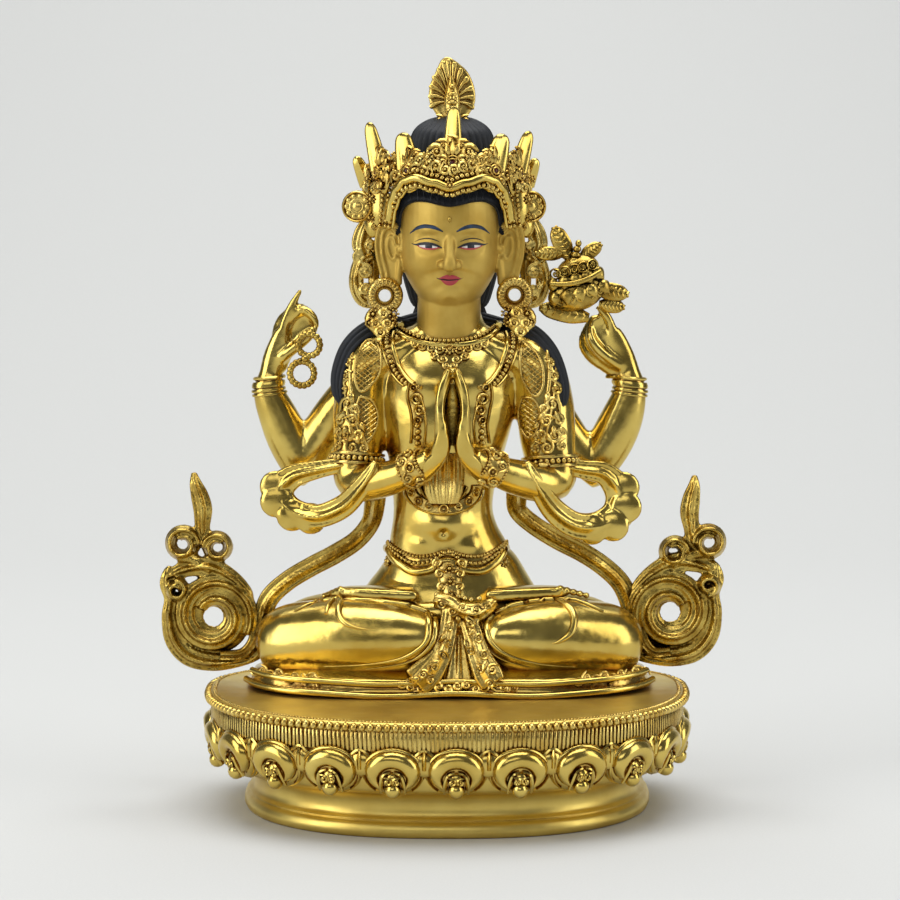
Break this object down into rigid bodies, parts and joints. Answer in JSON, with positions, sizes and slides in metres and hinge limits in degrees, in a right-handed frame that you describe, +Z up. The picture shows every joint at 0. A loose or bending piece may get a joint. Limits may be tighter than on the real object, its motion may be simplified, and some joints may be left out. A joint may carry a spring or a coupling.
{
  "type": "avalokiteshvara statue",
  "caption": "Seated four-armed deity in prayer on a lotus throne, with crown, rosary, lotus blossom and scrolling scarves; stands on its flat underside.",
  "frame": {"origin": "on the floor, at the underside, under the middle of the seated figure", "axes": "+Z up; -Y the way the figure faces; +X the figure's own left, the side that holds the lotus"},
  "size_m": [0.172, 0.1097, 0.2201],
  "materials": {
    "throne_gilding": "polished gilding, darker in the recesses",
    "figure_gilding": "polished gilding, matt painted gold on the face, blue-black painted hair",
    "antiqued_gilding": "unpolished, darkened gilding"
  },
  "bodies": {
    "root": {"lotus_base": "throne_gilding", "figure": "figure_gilding", "rosary": "antiqued_gilding", "lotus_blossom": "antiqued_gilding"}
  },
  "joints": []
}
